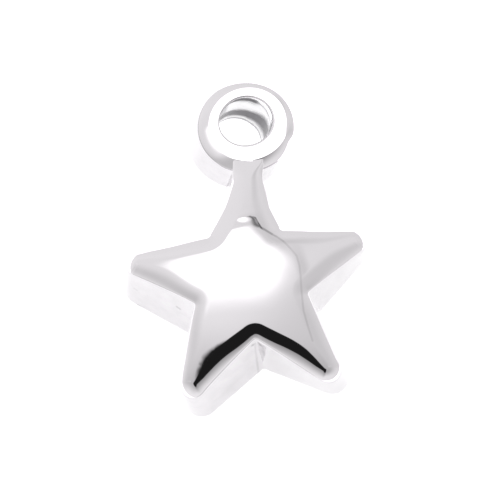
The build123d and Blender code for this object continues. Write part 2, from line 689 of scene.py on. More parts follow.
    def crown_scale(self, rim: np.ndarray, normals: np.ndarray, width: float) -> np.ndarray:
        """How much of its full size the crown has at each point of the upper rim.

        It is full size where there is room, and tighter where the neck runs into the loop.
        Room is the radius of the largest circle that touches the rim at the point from inside,
        found over all other points: the square of their distance over twice its part along the
        inward normal. The scale is then evened out over its neighbours.

        Args:
            rim: Plan points of the rim.
            normals: Outward normals of the rim.
            width: Width of the full crown.

        Returns:
            One scale for each point.
        """
        reach = rim[None] - rim[:, None]
        inward = -(reach * normals[:, None]).sum(axis=-1)
        square = (reach ** 2).sum(axis=-1)
        counted = inward > self.least_turn * np.sqrt(square) + TINY
        room = np.where(counted, square / (2 * np.maximum(inward, TINY)), np.inf).min(axis=1)
        scale = np.minimum(1.0, self.crown_share * room / width)
        past = (rim @ unit(90 - self.neck.lean) - self.end_from) / self.end_over
        scale = scale * (1 - self.end_tightness * smooth_step(past))
        spread = self.crown_evening
        around = np.concatenate([scale[-spread:], scale, scale[:spread]])
        even = np.convolve(around, np.ones(spread) / spread, "same")[spread:-spread]
        return np.minimum(even, self.crown_limit * room / width)

    def near_low_notch(self, rim: np.ndarray) -> np.ndarray:
        """How near each point of the rim is to one of the three notches away from the neck.

        Args:
            rim: Plan points of the rim.

        Returns:
            1 at the notches, falling smoothly to 0 along the arms.
        """
        near, far = self.notch_crown_reach
        corners = []
        for number in range(1, self.arm_count - 1):
            angle = 90 + self.half_step * (2 * number + 1)
            corners.append(self.notch(self.rim_inset, angle))
        gap = np.min([np.hypot(*(rim - corner).T) for corner in corners], axis=0)
        return smooth_step((far - gap) / (far - near))

    def crown_rings(self, base: np.ndarray, move: np.ndarray) -> np.ndarray:
        """Rings that turn from the wall into the face.

        A point of a ring lies inside the wall and under the face by the crown's profile at
        the local scale. The wall leans, so its place depends on the height, and a few passes
        settle both.

        Args:
            base: Back outline.
            move: How the outline moves for each millimetre of inset.

        Returns:
            An array of rings by points by three coordinates.
        """
        inside, under = self.crown.profile(self.crown_rows)
        low_inside, low_under = self.notch_crown.profile(self.crown_rows)
        base_height = self.face_height(base[:, 0], base[:, 1])
        rim = base + move * ((base_height - under[0]) * self.slant)[:, None]
        normals = self.ring_normals(rim)
        scale = self.crown_scale(rim, normals, inside[-1])[None]
        near = self.near_low_notch(rim)[None]
        inside = (inside[:, None] * (1 - near) + low_inside[:, None] * near) * scale
        under = (under[:, None] * (1 - near) + low_under[:, None] * near) * scale
        height = base_height[None] - under
        for _ in range(self.crown_passes):
            plan = base + move * (height * self.slant)[..., None] - normals * inside[..., None]
            x, y = plan[..., 0], plan[..., 1]
            height = self.face_height(x, y) - under * self.face_tilt(x, y)
        return np.concatenate([plan, height[..., None]], axis=-1)

    def rings(self) -> tuple[np.ndarray, np.ndarray]:
        """The back edge, walls and crown as rings, from the back up to where the face begins.

        The back edge is a quarter circle, of which the lower half has the back's finish, and
        the walls run straight from it to the crown.

        Returns:
            An array of rings by points by three, and the skin of each band between two rings.
        """
        base, normals = self.outline(0.0)
        deep, _ = self.outline(self.probe_inset)
        move = (deep - base) / self.probe_inset
        crown = self.crown_rings(base, move)
        turn = np.linspace(0, math.pi / 2, self.back_rows)[:, None]
        size = (self.back_rows, len(base))
        edge_height = np.broadcast_to(self.back_edge * (1 - np.cos(turn)), size)
        edge_inset = np.broadcast_to(self.back_edge * (1 - np.sin(turn)), size)
        share = np.linspace(0, 1, self.wall_rows + 1)[1:-1, None]
        wall_height = self.back_edge * (1 - share) + crown[0, :, 2] * share
        height = np.concatenate([edge_height, wall_height])[..., None]
        inset = np.concatenate([edge_inset, np.zeros_like(wall_height)])[..., None]
        low = base + move * (height * self.slant) - normals * inset
        rings = np.concatenate([np.concatenate([low, height], axis=-1), crown])
        bands = np.full(len(rings), Skin.FACE.value)
        bands[: len(low) + self.crown_wall_rows] = Skin.WALL.value
        bands[: self.back_rows // 2] = Skin.BACK.value
        return rings, bands

    def inner_points(self, rim: np.ndarray) -> np.ndarray:
        """Plan points of the face: a slanted grid, and a finer one round the swell.

        Args:
            rim: Plan points of the innermost ring.

        Returns:
            The points of both grids that lie inside the rim and clear of it.
        """
        fine = self.face_step / self.swell_fineness
        middle = np.array(self.swell.middle)
        reach = np.array(self.swell.spread) * self.swell_reach
        low, high = middle - reach, middle + reach
        corner = np.full(2, self.face_reach)
        coarse = slanted_grid(-corner, corner, self.face_step)
        coarse = coarse[((coarse < low - fine) | (coarse > high)).any(axis=1)]
        dense = slanted_grid(low, high, fine)
        points = np.concatenate([coarse, dense])
        gaps = (self.face_step * self.coarse_gap, fine * self.fine_gap)
        least = np.repeat(gaps, (len(coarse), len(dense)))
        nearest = np.sqrt(((points[:, None] - rim[None]) ** 2).sum(axis=-1)).min(axis=1)
        return points[inside_rim(points, rim) & (nearest > least)]

    def surface(self) -> tuple[np.ndarray, list[np.ndarray], np.ndarray]:
        """The whole closed surface, from the back outline over the walls to the face.

        The casting is slightly wrung: the outline turns a little for each millimetre of height,
        and less than that near the face.

        Returns:
            Points, the groups of faces, and the skin of each face.
        """
        rings, bands = self.rings()
        rows, columns, _ = rings.shape
        rim = rings[-1, :, :2]
        inner = self.inner_points(rim)
        back_faces = filled(rings[0, :, :2], np.zeros((0, 2)))[:, ::-1]
        face_faces = filled(rim, inner) + (rows - 1) * columns
        height = self.face_height(inner[:, 0], inner[:, 1])
        points = np.concatenate([rings.reshape(-1, 3), np.column_stack([inner, height])])
        turn = np.radians(self.twist) * (self.twist_level - points[:, 2])
        turn = np.where(turn < 0, turn * self.top_twist_share, turn)
        x, y = points[:, 0].copy(), points[:, 1].copy()
        points[:, 0] = x * np.cos(turn) - y * np.sin(turn) + self.centre[0]
        points[:, 1] = x * np.sin(turn) + y * np.cos(turn) + self.centre[1]
        faces = [band_faces(rows, columns, False), face_faces, back_faces]
        skins = [
            np.repeat(bands[:-1], columns),
            np.full(len(face_faces), Skin.FACE.value),
            np.full(len(back_faces), Skin.BACK.value),
        ]
        return points, faces, np.concatenate(skins)


@dataclass
class Loop:
    """The loop: a section carried round its own axis, drafted outside, bored straight inside."""

    # Place of its middle, its axis, and how far it stands from the star's centre
    centre: Vector
    axis: Vector
    beside_star: float = 0.32
    above_star: float = 7.04

    # Section
    outer_radius: float = 2.12
    bore_radius: float = 1.07
    length: float = 2.60
    draft: float = 2.6
    back_rim: float = 0.22
    mouth: float = 0.08

    # Front rim: its bend all round, and the bevelled one beside the neck, which holds to the
    # second angle on both sides of the first and is gone at the third
    crown: Crown = Crown(((0, 0.12), (11, 0.12), (19, 0.84), (42, 0.84), (49, 0.16), (90, 0.16)))
    low_crown: Crown = Crown((
        (0, 0.08), (13, 0.08), (15, 0.02), (37, 0.02), (39, 3.0), (44, 3.0), (48, 0.14), (90, 0.14)
    ))
    low_crown_at: tuple[float, float, float] = (284.0, 42.0, 64.0)

    # Front face: its rise for each millimetre across and up, the shift of its rim, and the
    # share by which the half away from the star is drawn out
    face_rise: tuple[float, float] = (0.295, -0.030)
    front_shift: tuple[float, float] = (0.10, -0.23)
    top_stretch: float = 0.035

    # Fineness of the mesh
    around: int = 200
    crown_rows: int = 36
    crown_face_rows: int = 24
    rim_points: int = 10
    mouth_points: int = 8
    side_points: int = 10

    def section(self, crown: Crown) -> tuple[np.ndarray, np.ndarray]:
        """Closed section as radius and height, and the skin of each stretch.

        It runs up the bore, over the front mouth and face, round the crown, down the leaning
        outer wall, and round the back rim, face and mouth.

        Args:
            crown: How the front rim turns from the face into the wall.

        Returns:
            Points as (radius, height) rows, and the skin that starts at each point.
        """
        half = self.length / 2
        slant = math.tan(math.radians(self.draft))
        quarter = math.pi / 2
        lean = math.radians(self.draft)
        inside, under = crown.profile(self.crown_rows)
        height = half - under
        edge_radius = self.outer_radius - (height + half) * slant - inside
        edge = np.stack([edge_radius, height], axis=1)[::-1]
        back_reach = self.back_rim * (1 / math.cos(lean) + slant)
        back_centre = np.array([self.outer_radius - back_reach, self.back_rim - half])
        mouth_top = np.array([self.bore_radius + self.mouth, half - self.mouth])
        mouth_low = np.array([self.bore_radius + self.mouth, self.mouth - half])
        front_mouth, _ = arc(mouth_top, self.mouth, 2 * quarter, -quarter, self.mouth_points)
        back_edge, _ = arc(back_centre, self.back_rim, lean, -quarter - lean, self.rim_points)
        back_mouth, _ = arc(mouth_low, self.mouth, -quarter, -quarter, self.mouth_points)
        bore = spaced(mouth_low - [self.mouth, 0], mouth_top - [self.mouth, 0], self.side_points)
        face = spaced(mouth_top + [0, self.mouth], edge[0], self.side_points)
        wall_end = back_centre + self.back_rim * np.array([math.cos(lean), math.sin(lean)])
        wall = spaced(edge[-1], wall_end, self.side_points)
        back_start, back_end = back_centre - [0, self.back_rim], mouth_low - [0, self.mouth]
        back = spaced(back_start, back_end, self.side_points)
        stretches = (
            (bore, Skin.BORE),
            (front_mouth, Skin.FACE),
            (face, Skin.FACE),
            (edge[: self.crown_face_rows], Skin.FACE),
            (edge[self.crown_face_rows : -1], Skin.WALL),
            (wall, Skin.WALL),
            (back_edge, Skin.WALL),
            (back, Skin.BACK),
            (back_mouth, Skin.BACK),
        )
        points = np.concatenate([part for part, _ in stretches])
        skins = np.concatenate([np.full(len(part), skin.value) for part, skin in stretches])
        return points, skins

    def rings(self) -> tuple[np.ndarray, np.ndarray]:
        """The closed surface as rings round the axis.

        The front face is a plane that rises across the loop, and the front rim sits a little
        to the side of the bore. Both fade with the square of the way down to the back. Beside
        the neck the rim goes smoothly over to the low crown.

        Returns:
            An array of rings by points by three, and the skin of each band between two rings.
        """
        section, skins = self.section(self.crown)
        low_section, _ = self.section(self.low_crown)
        angle = np.linspace(0, 2 * math.pi, self.around, endpoint=False)
        middle, near, far = self.low_crown_at
        aside = np.abs((np.degrees(angle) - middle + 180) % 360 - 180)
        low = smooth_step((far - aside) / (far - near))
        radius = section[:, :1] * (1 - low) + low_section[:, :1] * low
        height = section[:, 1:] * (1 - low) + low_section[:, 1:] * low
        across, up = radius * np.cos(angle), radius * np.sin(angle)
        lift = np.clip(height / self.length + 0.5, 0, 1) ** 2
        wall = self.outer_radius - self.bore_radius
        outer = np.clip((radius - self.bore_radius) / wall, 0, 1)
        up = up * (1 + self.top_stretch * outer * (up > 0)) + lift * outer * self.front_shift[1]
        across = across + lift * outer * self.front_shift[0]
        height = height + lift * (across * self.face_rise[0] + up * self.face_rise[1])
        local = np.stack([across, up, height], axis=-1)
        turn = Vector((0, 0, 1)).rotation_difference(self.axis).to_matrix()
        return local @ np.array(turn).T + np.array(self.centre), skins


class NodeSheet:
    """Short ways to add and join shader nodes in one tree."""

    def __init__(self, tree: bpy.types.NodeTree) -> None:
        """Keeps the tree that the nodes go into."""
        self.tree = tree

    def add(self, kind: str, **values: object) -> bpy.types.Node:
        """Adds a node.

        Args:
            kind: Blender's name for the kind of node.
            values: Properties of the node to set, by name.

        Returns:
            The new node.
        """
        node = self.tree.nodes.new(kind)
        for name, value in values.items():
            setattr(node, name, value)
        return node

    def feed(self, target: Socket, term: Term) -> None:
        """Joins a socket to the target, or sets the target's own value.

        Args:
            target: Input of a node.
            term: Output that feeds it, or its fixed value.
        """
        if isinstance(term, bpy.types.NodeSocket):
            self.tree.links.new(term, target)
        else:
            target.default_value = term

    def feed_all(self, node: bpy.types.Node, **terms: Term) -> bpy.types.Node:
        """Feeds inputs of a node by name.

        Args:
            node: The node.
            terms: What feeds each input, by its name with lines for blanks.

        Returns:
            The same node.
        """
        for name, term in terms.items():
            self.feed(node.inputs[name.replace("_", " ")], term)
        return node

    def math(self, operation: str, *terms: Term, clamp: bool = False) -> Socket:
        """Works out a number.

        Args:
            operation: Name of the Math node's operation.
            terms: Sockets or numbers, in the order of its inputs.
            clamp: True keeps the result between 0 and 1.

        Returns:
            The result.
        """
        node = self.add("ShaderNodeMath", operation=operation, use_clamp=clamp)
        for socket, term in zip(node.inputs, terms):
            self.feed(socket, term)
        return node.outputs["Value"]

    def times(self, first: Term, second: Term) -> Socket:
        """Product of two terms."""
        return self.math("MULTIPLY", first, second)

    def vector(self, operation: str, *terms: Term) -> Socket:
        """Works out a vector, or a number from vectors.

        Args:
            operation: Name of the Vector Math node's operation.
            terms: Sockets or vectors, in the order of its inputs; the scale comes last.

        Returns:
            The result.
        """
        node = self.add("ShaderNodeVectorMath", operation=operation)
        used = [socket for socket in node.inputs if socket.enabled]
        for socket, term in zip(used, terms):
            self.feed(socket, term)
        return node.outputs["Value" if operation in ("DOT_PRODUCT", "DISTANCE") else "Vector"]

    def split(self, vector: Socket) -> list[Socket]:
        """The three parts of a vector."""
        node = self.add("ShaderNodeSeparateXYZ")
        return list(self.feed_all(node, Vector=vector).outputs)

    def noise(self, place: Socket, scale: float, detail: float) -> Socket:
        """Cloudy noise from 0 to 1.

        Args:
            place: Where it is looked up, in metres.
            scale: Clouds for each metre.
            detail: How many finer layers lie on top.

        Returns:
            The noise.
        """
        node = self.add("ShaderNodeTexNoise")
        return self.feed_all(node, Vector=place, Scale=scale, Detail=detail).outputs["Fac"]

    def smooth(self, value: Term, low: Term, high: Term) -> Socket:
        """Smooth step from 0 at low to 1 at high."""
        node = self.add("ShaderNodeMapRange", interpolation_type="SMOOTHSTEP")
        return self.feed_all(node, Value=value, From_Min=low, From_Max=high).outputs["Result"]

    def blend(self, share: Term, first: Term, second: Term) -> Socket:
        """Mixes two colours.

        Args:
            share: 0 for the first colour, 1 for the second.
            first: Socket or colour.
            second: Socket or colour.

        Returns:
            The mixed colour.
        """
        node = self.add("ShaderNodeMix", data_type="RGBA")
        used = [socket for socket in node.inputs if socket.enabled]
        for socket, term in zip(used, (share, first, second)):
            self.feed(socket, term)
        return next(socket for socket in node.outputs if socket.enabled)


@dataclass(frozen=True)
class SkyPatch:
    """A light or dark patch of the studio seen from the table.

    Its place and size are degrees from straight up: x to the right of the photograph, y
    towards the pendant's loop. power 2 gives an ellipse and larger ones a rounded box.
    """

    x: float
    y: float
    half_width: float
    half_height: float
    softness: float
    brightness: float
    turn: float
    power: float

    def lay(self, sheet: NodeSheet, place: tuple[Socket, Socket], below: Socket) -> Socket:
        """Lays the patch over the light below it.

        It is a smooth step over the distance from its middle, measured in its own half sizes:
        the root, of its power, of the two parts' powers added up.

        Args:
            sheet: Nodes of the world.
            place: Degrees from straight up, along x and y.
            below: Light without the patch.

        Returns:
            Light with the patch.
        """
        cosine, sine = unit(self.turn).tolist()
        off_x = sheet.math("SUBTRACT", place[0], self.x)
        off_y = sheet.math("SUBTRACT", place[1], self.y)
        turned_x = sheet.math("ADD", sheet.times(off_x, cosine), sheet.times(off_y, sine))
        turned_y = sheet.math("SUBTRACT", sheet.times(off_y, cosine), sheet.times(off_x, sine))
        powers = []
        for part, half in ((turned_x, self.half_width), (turned_y, self.half_height)):
            share = sheet.math("ABSOLUTE", sheet.math("DIVIDE", part, half))
            powers.append(sheet.math("POWER", share, self.power))
        distance = sheet.math("POWER", sheet.math("ADD", *powers), 1 / self.power)
        outside = sheet.smooth(distance, 1 - self.softness, 1 + self.softness)
        lift = sheet.math("SUBTRACT", below, self.brightness)
        return sheet.math("MULTIPLY_ADD", outside, lift, self.brightness)


@dataclass(frozen=True)
class SkyWindow:
    """A straight-sided light in the same degrees from straight up.

    Each edge gives the direction in which it faces, how far it lies out, and its softness.
    """

    edges: tuple[tuple[float, float, float], ...]
    brightness: float = 1.5

    def lay(self, sheet: NodeSheet, place: tuple[Socket, Socket], below: Socket) -> Socket:
        """Lays the window over the light below it.

        Its share is the product of a smooth step across each edge.

        Args:
            sheet: Nodes of the world.
            place: Degrees from straight up, along x and y.
            below: Light without the window.

        Returns:
            Light with the window.
        """
        share: Term = 1.0
        for facing, reach, softness in self.edges:
            out_x, out_y = unit(facing).tolist()
            out = sheet.math("MULTIPLY_ADD", place[0], out_x, sheet.times(place[1], out_y))
            inside = sheet.smooth(sheet.times(out, -1.0), -reach - softness, softness - reach)
            share = sheet.times(share, inside)
        lift = sheet.math("SUBTRACT", self.brightness, below)
        return sheet.math("MULTIPLY_ADD", share, lift, below)


@dataclass(frozen=True)
class Studio:
    """Light tent above a pale table, and the camera at the photograph's angle."""

    # Tent: its light straight up, and how that changes for each degree along x and along y
    grey: tuple[float, float, float] = (0.800, -0.00085, -0.0006)

    # Patches: x, y, half width, half height, softness, brightness, turn, power
    patches: tuple[SkyPatch, ...] = (
        SkyPatch(9.3, -34.2, 45.3, 26.4, 0.60, 0.301, 16, 2.3),
        SkyPatch(-43.0, -8.0, 30.7, 29.7, 0.90, 0.462, 14, 2.2),
        SkyPatch(39.9, -10.7, 40.0, 21.1, 0.90, 0.600, 17, 1.8),
        SkyPatch(14.8, 34.7, 22.2, 11.2, 0.95, 0.616, 40, 1.8),
        SkyPatch(-21.3, 5.0, 34.1, 22.0, 0.97, 0.848, -11, 2.6),
        SkyPatch(23.6, 14.5, 2.3, 8.9, 0.95, 0.62, 12, 2.3),
        SkyPatch(-1.2, -33.0, 27.4, 16.8, 0.06, 0.011, -6, 2.4),
        SkyPatch(7.4, 35.3, 3.6, 1.5, 0.50, 0.13, -18, 1.9),
        SkyPatch(5.8, 37.0, 0.5, 2.0, 0.42, 0.333, 21, 1.8),
    )
    windows: tuple[SkyWindow, ...] = (
        SkyWindow((
            (187, 29.9, 9.0), (90, 25.2, 2.3), (53, 25.9, 3.6),
            (-11, 13.7, 9.0), (-36, 6.0, 9.0), (-95, -3.5, 9.0),
        )),
        SkyWindow(((128, 30.0, 2.4), (97, 34.6, 0.7), (36, 21.8, 2.8), (-83, -22.6, 5.8))),
    )

    # Camera: angles in degrees, and the place that it looks at, counted from the star's centre
    camera_tilt: float = 17.9
    camera_yaw: float = 0.4
    camera_roll: float = 6.3
    camera_distance: float = 125.0
    aim_right: float = -0.075
    aim_up: float = 2.27
    frame_width: float = 20.833
    sensor_width: float = 36.0

    # Nearest and farthest depth that the camera sees, and the table's side, in metres
    camera_depths: tuple[float, float] = (0.001, 10.0)
    table_size: float = 3.0
    table_colour: tuple[float, float, float] = (0.86, 0.86, 0.87)
    table_roughness: float = 0.9
    table_glow: float = 0.78

    @staticmethod
    def sky_degrees(sheet: NodeSheet) -> tuple[Socket, Socket]:
        """Place of a direction in degrees from straight up, along x and y.

        The angle from straight up is shared between x and y as the direction's own parts are.

        Args:
            sheet: Nodes of the world.

        Returns:
            Degrees along x and along y.
        """
        x, y, z = sheet.split(sheet.add("ShaderNodeTexCoord").outputs["Generated"])
        flat = sheet.math("SQRT", sheet.math("ADD", sheet.times(x, x), sheet.times(y, y)))
        fall = sheet.times(sheet.math("ARCTAN2", flat, z), math.degrees(1))
        scale = sheet.math("DIVIDE", fall, sheet.math("MAXIMUM", flat, TINY))
        return sheet.times(x, scale), sheet.times(y, scale)

    def sky(self) -> None:
        """Sets the world: an even grey tent with patches and windows laid over it in order."""
        world = bpy.data.worlds.new("light_tent")
        world.use_nodes = True
        world.node_tree.nodes.clear()
        sheet = NodeSheet(world.node_tree)
        place = self.sky_degrees(sheet)
        level, right_rise, top_rise = self.grey
        light = sheet.math("MULTIPLY_ADD", place[0], right_rise, level)
        light = sheet.math("MULTIPLY_ADD", place[1], top_rise, light)
        for layer in (*self.patches, *self.windows):
            light = layer.lay(sheet, place, light)
        background = sheet.add("ShaderNodeBackground")
        sheet.feed_all(background, Color=WHITE, Strength=light)
        sheet.feed_all(sheet.add("ShaderNodeOutputWorld"), Surface=background.outputs[0])
        bpy.context.scene.world = world

    def table(self) -> bpy.types.Object:
        """The pale table that the pendant lies on, which glows a little as a light table does.

        Returns:
            The table, which belongs to the stage.
        """
        half = self.table_size / 2
        corners = np.array([[-half, -half, 0], [half, -half, 0], [half, half, 0], [-half, half, 0]])
        table = mesh_object("table", corners, [np.array([[0, 1, 2, 3]])], np.zeros(1))
        material = bpy.data.materials.new("pale_table")
        material.use_nodes = True
        NodeSheet(material.node_tree).feed_all(
            material.node_tree.nodes["Principled BSDF"],
            Base_Color=(*self.table_colour, 1),
            Roughness=self.table_roughness,
            Specular_IOR_Level=0.0,
            Emission_Color=WHITE,
            Emission_Strength=self.table_glow,
        )
        table.data.materials.append(material)
        return table

    def camera(self, centre: tuple[float, float]) -> bpy.types.Object:
        """Camera above the table, leaning over the star's legs and rolled as the photograph is.

        Args:
            centre: Place of the star's centre.

        Returns:
            The camera object, made the scene's camera.
        """
        lean = Matrix.Rotation(math.radians(self.camera_tilt), 3, "X")
        swing = Matrix.Rotation(math.radians(-self.camera_yaw), 3, "Y")
        roll = Matrix.Rotation(math.radians(-self.camera_roll), 3, "Z")
        turn = swing @ lean @ roll
        aim = Vector((*centre, 0)) + turn @ Vector((self.aim_right, self.aim_up, 0))
        place = aim + turn @ Vector((0, 0, self.camera_distance))
        data = bpy.data.cameras.new("photograph")
        data.sensor_width = self.sensor_width
        data.lens = self.sensor_width * self.camera_distance / self.frame_width
        data.clip_start, data.clip_end = self.camera_depths
        camera = bpy.data.objects.new("photograph", data)
        camera.matrix_world = Matrix.Translation(place * MM) @ turn.to_4x4()
        bpy.context.scene.collection.objects.link(camera)
        bpy.context.scene.camera = camera
        return camera

    def build(self, centre: tuple[float, float]) -> None:
        """Makes the light, the table and the camera.

        Args:
            centre: Place of the star's centre.
        """
        self.sky()
        self.table()
        self.camera(centre)
        bpy.context.scene.view_settings.view_transform = "Standard"
        log.info("studio: %d patches, camera %.0f mm away", len(self.patches), self.camera_distance)


class Effect:
    """An effect of the silver, built once as a shader node group with one output.

    Every finish that has the effect shares the group. Each kind of effect names its output and
    wires its nodes.
    """

    name: str
    output: ClassVar[str]

    def wire(self, sheet: NodeSheet) -> Socket:
        """Adds the nodes of the effect and returns the socket that feeds its output."""
        raise NotImplementedError

    def group(self) -> bpy.types.NodeTree:
        """The effect's node group, made when it is first asked for.

        Returns:
            The tree, which has one output.
        """
        if self.name in bpy.data.node_groups:
            return bpy.data.node_groups[self.name]
        tree = bpy.data.node_groups.new(self.name, "ShaderNodeTree")
        tree.interface.new_socket(self.output, in_out="OUTPUT", socket_type="NodeSocketFloat")
        sheet = NodeSheet(tree)
        sheet.feed_all(sheet.add("NodeGroupOutput"), **{self.output: self.wire(sheet)})
        return tree

    def layer(self, sheet: NodeSheet) -> Socket:
        """The effect's output, brought into the tree of a finish."""
        return sheet.add("ShaderNodeGroup", node_tree=self.group()).outputs[self.output]


@dataclass(frozen=True)
class HandPolish(Effect):
    """Faint waviness that hand polishing leaves, as a height for the bump of any finish."""

    output: ClassVar[str] = "Height"
    name: str = "hand_polish"
    waves: float = 800.0
    detail: float = 2.0

    def wire(self, sheet: NodeSheet) -> Socket:
        """Height from 0 to 1: noise with this many waves for each metre."""
        place = sheet.add("ShaderNodeTexCoord").outputs["Object"]
        return sheet.noise(place, self.waves, self.detail)


@dataclass(frozen=True)
class ShadeStreak:
    """One streak of painted shade in the bore, a dark stroke.

    Its height is counted from the back of the bore. Height and half width grow, by the climb
    and the spread, towards the right. It runs between two angles in degrees round the bore, 0
    on the right and 90 at the side away from the star.
    """

    height: float
    half_width: float
    begin: float
    end: float
    strength: float
    climb: float = 0.0
    spread: float = 0.0


@dataclass(frozen=True)
class BoreShade(Effect):
    """The streaks of painted shade in the bore as one mask."""

    output: ClassVar[str] = "Mask"
    centre: tuple[float, float, float]
    axis: tuple[float, float, float]
    name: str = "bore_painted_shade"

    # Depth of the bore's back under its middle, the angle where a turn starts, and the angles
    # between which the climb and the spread set in
    bottom: float = 1.30
    turn_start: float = -90.0
    right_side: tuple[float, float] = (80.0, -10.0)

    # Ends fade over this many degrees, sides between these shares of the half width
    end_fade: float = 16.0
    side_fade: tuple[float, float] = (1.25, 0.35)

    # Waves for each metre that make the streaks wander, their detail, and how far they wander
    waves: float = 1500.0
    detail: float = 2.0
    wander: float = 0.30

    # Streaks of painted shade in the bore
    # Height, half width, begin, end, strength, climb, spread
    streaks: tuple[ShadeStreak, ...] = (
        ShadeStreak(0.84, 0.44, -26, 170, 0.95, 0.50, 0.42),
        ShadeStreak(0.20, 0.14, -20, 150, 0.62),
        ShadeStreak(2.34, 0.22, 44, 158, 0.99),
        ShadeStreak(2.06, 0.08, 44, 104, 0.35),
        ShadeStreak(1.40, 0.95, 112, 190, 0.70),
        ShadeStreak(2.36, 0.10, -34, 62, 0.50),
    )

    def bore_place(self, sheet: NodeSheet, place: Socket) -> tuple[Socket, Socket]:
        """Place in the bore: the angle round its axis and the height along it.

        Args:
            sheet: Nodes of the group.
            place: Place in the pendant's frame, in metres.

        Returns:
            The angle in degrees, and the height above the back of the bore.
        """
        turn = Vector((0, 0, 1)).rotation_difference(Vector(self.axis)).to_matrix()
        off = sheet.vector("SUBTRACT", place, tuple(value * MM for value in self.centre))
        across, up, along = (
            sheet.math("DIVIDE", sheet.vector("DOT_PRODUCT", off, tuple(column)), MM)
            for column in turn.col
        )
        angle = sheet.times(sheet.math("ARCTAN2", up, across), math.degrees(1))
        angle = sheet.math("WRAP", angle, self.turn_start + 360, self.turn_start)
        return angle, sheet.math("ADD", along, self.bottom)

    def wire(self, sheet: NodeSheet) -> Socket:
        """Mask from 0 to 1: one less the product of what each streak leaves clean.

        Args:
            sheet: Nodes of the group.

        Returns:
            The mask, 1 where the painted shade is darkest.
        """
        place = sheet.add("ShaderNodeTexCoord").outputs["Object"]
        angle, height = self.bore_place(sheet, place)
        noise = sheet.noise(place, self.waves, self.detail)
        drift = sheet.math("MULTIPLY_ADD", noise, self.wander, -self.wander / 2)
        height = sheet.math("ADD", height, drift)
        right = sheet.smooth(angle, *self.right_side)
        clean: Term = 1.0
        for streak in self.streaks:
            middle = sheet.math("MULTIPLY_ADD", right, streak.climb, streak.height)
            gap = sheet.math("ABSOLUTE", sheet.math("SUBTRACT", height, middle))
            wide = sheet.math("MULTIPLY_ADD", right, streak.spread, streak.half_width)
            body = sheet.smooth(sheet.math("DIVIDE", gap, wide), *self.side_fade)
            begin = sheet.smooth(angle, streak.begin, streak.begin + self.end_fade)
            end = sheet.smooth(angle, streak.end, streak.end - self.end_fade)
            mask = sheet.times(sheet.times(body, begin), sheet.times(end, streak.strength))
            clean = sheet.times(clean, sheet.math("SUBTRACT", 1.0, mask))
        return sheet.math("SUBTRACT", 1.0, clean)


@dataclass(frozen=True)
class WallShade(Effect):
    """Painted shade on the walls that face the star's legs, and a painted shadow line along their back
    edge.
    """

    output: ClassVar[str] = "Tone"
    name: str = "wall_painted_shade"
    # Tones: painted shade on walls that face the legs, the other walls, and the painted shadow line on
    # the back edge
    shaded_tone: float = 0.665
    bright: float = 0.73
    edge: float = 0.44
    edge_height: tuple[float, float] = (0.05, 0.16)

    # Parts of the wall's normal, upwards and towards the loop, between which the painted shade sets in
    upright: tuple[float, float] = (0.70, 0.57)
    legwards: tuple[float, float] = (-0.05, -0.60)

    # Clouds for each metre, their detail, how much they change the tone, and where they lay the
    # painted shadow line on the back edge
    clouds: float = 1400.0
    detail: float = 3.0
    mottle: float = 0.14
    patchy: tuple[float, float] = (0.35, 0.60)

    def wire(self, sheet: NodeSheet) -> Socket:
        """Tone to tint the silver with.

        The bright tone, less the difference to the shaded one where a wall faces the legs, which is
        painted shade, and the edge's own tone where the painted shadow line lies.

        Args:
            sheet: Nodes of the group.

        Returns:
            The tone, 1 for clean silver and 0 for black.
        """
        coordinates = sheet.add("ShaderNodeTexCoord").outputs
        _, loopwards, upwards = sheet.split(coordinates["Normal"])
        _, _, height = sheet.split(coordinates["Object"])
        # Painted shade where a wall faces the legs, mottled by the clouds
        upright = sheet.smooth(upwards, *self.upright)
        legs = sheet.times(upright, sheet.smooth(loopwards, *self.legwards))
        cloud = sheet.noise(coordinates["Object"], self.clouds, self.detail)
        mottle = sheet.math("MULTIPLY_ADD", cloud, self.mottle, -self.mottle / 2)
        drop = sheet.times(legs, sheet.math("ADD", mottle, self.bright - self.shaded_tone))
        tone = sheet.math("SUBTRACT", self.bright, drop)
        # Painted shadow line along the back edge of those walls, in patches
        low, high = self.edge_height
        line = sheet.smooth(height, high * MM, low * MM)
        share = sheet.times(sheet.times(line, legs), sheet.smooth(cloud, *self.patchy))
        return sheet.math("MULTIPLY_ADD", share, sheet.math("SUBTRACT", self.edge, tone), tone)


@dataclass(frozen=True)
class PaintedLine:
    """A faint painted dark line between two places of the casting: painted shade or a painted reflected
    line.

    Where strength is 1 it is black.
    """

    start: tuple[float, float, float]
    end: tuple[float, float, float]
    half_width: float
    strength: float


@dataclass(frozen=True)
class PaintedLines(Effect):
    """Painted dark lines as one tone. Flat ones lie at height 0 and are measured in plan."""

    output: ClassVar[str] = "Tone"
    name: str
    streaks: tuple[PaintedLine, ...]
    flat: bool = False

    # A streak fades between these shares of its half width
    side_fade: tuple[float, float] = (1.5, 0.3)

    def wire(self, sheet: NodeSheet) -> Socket:
        """Tone from 0 to 1, the darkest that any streak gives.

        The tone of a streak depends on the distance to the nearest point of its line.

        Args:
            sheet: Nodes of the group.

        Returns:
            The tone, 1 for clean silver and 0 for black.
        """
        place = sheet.add("ShaderNodeTexCoord").outputs["Object"]
        place = sheet.vector("SCALE", place, 1 / MM)
        if self.flat:
            place = sheet.vector("MULTIPLY", place, (1.0, 1.0, 0.0))
        outer, inner = self.side_fade
        tone: Term = 1.0
        for streak in self.streaks:
            line = Vector(streak.end) - Vector(streak.start)
            off = sheet.vector("SUBTRACT", place, streak.start)
            along = sheet.vector("DOT_PRODUCT", off, tuple(line))
            share = sheet.math("DIVIDE", along, line.length_squared, clamp=True)
            gap = sheet.vector("DISTANCE", off, sheet.vector("SCALE", tuple(line), share))
            body = sheet.smooth(gap, streak.half_width * outer, streak.half_width * inner)
            left = sheet.math("MULTIPLY_ADD", body, -streak.strength, 1.0)
            tone = sheet.math("MINIMUM", tone, left)
        return tone


